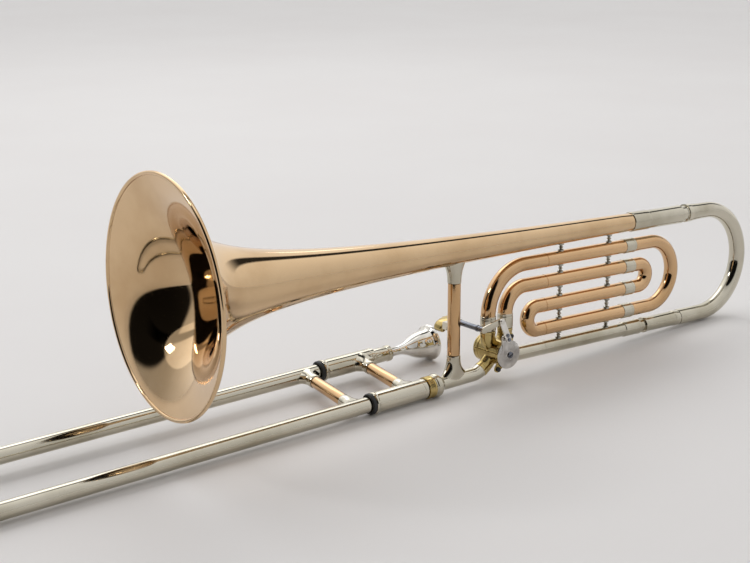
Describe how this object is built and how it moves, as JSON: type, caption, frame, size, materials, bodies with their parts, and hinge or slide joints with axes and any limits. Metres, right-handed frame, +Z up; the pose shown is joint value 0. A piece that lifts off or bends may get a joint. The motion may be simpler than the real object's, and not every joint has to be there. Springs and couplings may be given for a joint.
{
  "type": "trombone",
  "caption": "Tenor trombone with a hand slide, a flared bell, a thumb valve with wrapped tubing and a mouthpiece, lying at rest on a flat surface",
  "frame": {"origin": "under the middle of the whole instrument's bounding box, on the surface it lies on", "axes": "+X along the length from the slide bow towards the main tuning crook, +Y from the neckpipe leg of the slide to its mouthpiece leg, +Z up"},
  "size_m": [1.2646, 0.2156, 0.2662],
  "materials": {
    "rose_brass": "polished and lacquered",
    "yellow_brass": "polished",
    "nickel_silver": "polished nickel silver",
    "silver_plate": "bright silver plate",
    "spring_steel": "drawn wire",
    "black_rubber": "matte",
    "cork": "matte cork"
  },
  "bodies": {
    "horn": {"inner_tube_near": "nickel_silver", "cork_barrel_near": "nickel_silver", "barrel_buffer_near": "black_rubber", "inner_tube_far": "nickel_silver", "cork_barrel_far": "nickel_silver", "barrel_buffer_far": "black_rubber", "inner_brace_socket_near": "nickel_silver", "inner_brace_socket_far": "nickel_silver", "inner_brace_tube": "rose_brass", "threaded_collar": "yellow_brass", "mouthpiece_receiver": "nickel_silver", "bell": "rose_brass", "tuning_sleeve_upper": "nickel_silver", "neckpipe": "nickel_silver", "bell_post_head": "nickel_silver", "bell_post_tube": "rose_brass", "bell_post_foot": "nickel_silver", "outlet_pipe": "nickel_silver", "valve_casing": "yellow_brass", "valve_rear_cap": "yellow_brass", "valve_front_plate": "yellow_brass", "stop_bumper_upper": "black_rubber", "stop_bumper_lower": "black_rubber", "lever_bracket": "nickel_silver", "lever_spring": "spring_steel", "valve_tube_outer": "rose_brass", "valve_tube_inner": "rose_brass", "valve_tube_return": "rose_brass", "small_brace_left_1": "nickel_silver", "small_brace_left_2": "nickel_silver", "small_brace_left_3": "nickel_silver", "small_brace_left_4": "nickel_silver", "small_brace_left_5": "nickel_silver", "small_brace_right_1": "nickel_silver", "small_brace_right_2": "nickel_silver", "small_brace_right_3": "nickel_silver", "small_brace_right_4": "nickel_silver", "small_brace_right_5": "nickel_silver"},
    "outer_slide": {"outer_tube_near": "nickel_silver", "outer_tube_far": "nickel_silver", "outer_brace_socket_near": "nickel_silver", "outer_brace_socket_far": "nickel_silver", "outer_brace_tube": "rose_brass", "slide_bow": "nickel_silver", "bow_bumper": "black_rubber", "water_key_spring": "spring_steel"},
    "water_key": {"water_key_lever": "nickel_silver", "water_key_cork": "cork"},
    "main_tuning_slide": {"tuning_crook": "nickel_silver", "tuning_leg_upper": "nickel_silver", "tuning_leg_lower": "nickel_silver"},
    "valve_tuning_slide": {"valve_tuning_crook": "rose_brass"},
    "valve_inner_slide": {"valve_inner_crook": "rose_brass"},
    "lock_ring": {"lock_nut": "nickel_silver"},
    "mouthpiece": {"mouthpiece": "silver_plate"},
    "thumb_lever": {"thumb_lever": "nickel_silver"},
    "valve_link": {"link": "silver_plate"},
    "rotor": {"valve_rotor": "yellow_brass", "stop_disc": "silver_plate", "stop_screw": "nickel_silver"}
  },
  "joints": [
    {"name": "hand_slide", "type": "slide", "parent": "horn", "child": "outer_slide", "axis": [-1, 0.0002, -0.0042], "range_m": [0, 0.57]},
    {"name": "water_key_pivot", "type": "hinge", "parent": "outer_slide", "child": "water_key", "pos_m": [-0.57926, 0.00841, 0.01016], "axis": [0.0042, 0.082, -0.9966], "range_deg": [0, 12], "stiffness_Nm_per_rad": 0.02, "springref_deg": -17.19, "deforming": ["water_key_spring"]},
    {"name": "main_tuning", "type": "slide", "parent": "horn", "child": "main_tuning_slide", "axis": [0.9992, -0.0023, -0.0403], "range_m": [-0.007, 0.055]},
    {"name": "valve_tuning", "type": "slide", "parent": "horn", "child": "valve_tuning_slide", "axis": [0.9992, -0.0023, -0.0403], "range_m": [0, 0.045]},
    {"name": "valve_inner_tuning", "type": "slide", "parent": "horn", "child": "valve_inner_slide", "axis": [0.9992, -0.0023, -0.0403], "range_m": [0, 0.02]},
    {"name": "lock_ring_turn", "type": "hinge", "parent": "horn", "child": "lock_ring", "pos_m": [0.17174, -0.00726, 0.012], "axis": [1, -0.0002, 0.0042], "range_deg": [0, 1080]},
    {"name": "mouthpiece_pull", "type": "slide", "parent": "horn", "child": "mouthpiece", "axis": [1, -0.0002, 0.0042], "range_m": [0, 0.06]},
    {"name": "thumb_lever_pivot", "type": "hinge", "parent": "horn", "child": "thumb_lever", "pos_m": [0.20993, -0.00467, 0.06544], "axis": [0.0004, 0.9988, -0.0488], "range_deg": [0, 60], "stiffness_Nm_per_rad": 0.04, "springref_deg": -40.11, "deforming": ["lever_spring"]},
    {"name": "rotor_turn", "type": "hinge", "parent": "horn", "child": "rotor", "pos_m": [0.24559, -0.00634, 0.03152], "axis": [-0.0004, -0.9988, 0.0488], "range_deg": [0, 90]},
    {"name": "link_swing", "type": "hinge", "parent": "thumb_lever", "child": "valve_link", "pos_m": [0.23188, -0.00443, 0.07038], "axis": [-0.0004, -0.9988, 0.0488], "range_deg": [0, 43]}
  ],
  "couplings": [
    {"joint": "rotor_turn", "follows": "thumb_lever_pivot", "ratio": 1.5},
    {"joint": "link_swing", "follows": "thumb_lever_pivot", "ratio": 0.713}
  ]
}
